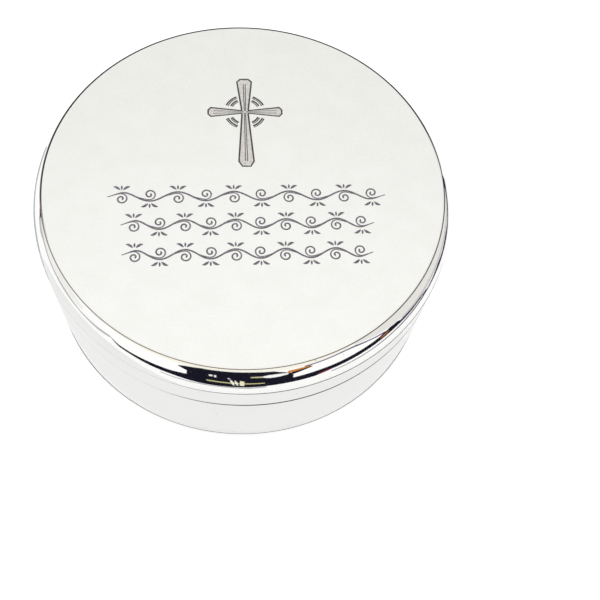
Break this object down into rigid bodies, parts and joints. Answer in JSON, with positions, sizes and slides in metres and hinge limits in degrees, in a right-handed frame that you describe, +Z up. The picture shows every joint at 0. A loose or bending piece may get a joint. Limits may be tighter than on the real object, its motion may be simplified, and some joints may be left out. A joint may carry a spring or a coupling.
{
  "type": "keepsake box",
  "caption": "Round plated keepsake box with a flat-topped hinged lid, an inner collar that locates the lid, and a velvet-lined well.",
  "frame": {"origin": "centre of the flat underside that the box stands on", "axes": "+Z up, -Y towards the front of the box, +Y towards the hinge"},
  "size_m": [0.09, 0.0928, 0.035],
  "materials": {
    "silver_plate": "polished silver plate, satin on the lid's flat top",
    "pin_steel": "drawn wire",
    "velvet": "short pile",
    "felt": "pressed felt",
    "card": "grey board"
  },
  "bodies": {
    "base": {"body_shell": "silver_plate", "body_collar": "silver_plate", "base_felt": "felt", "floor_card": "card", "floor_pad": "velvet", "wall_lining": "velvet", "body_hinge_leaf": "silver_plate", "hinge_pin": "pin_steel"},
    "lid": {"lid_shell": "silver_plate", "lid_card": "card", "lid_pad": "velvet", "lid_hinge_leaf": "silver_plate"}
  },
  "joints": [
    {"name": "lid_hinge", "type": "hinge", "parent": "base", "child": "lid", "pos_m": [0, 0.0464, 0.02095], "axis": [-1, 0, 0], "range_deg": [0, 100]}
  ]
}
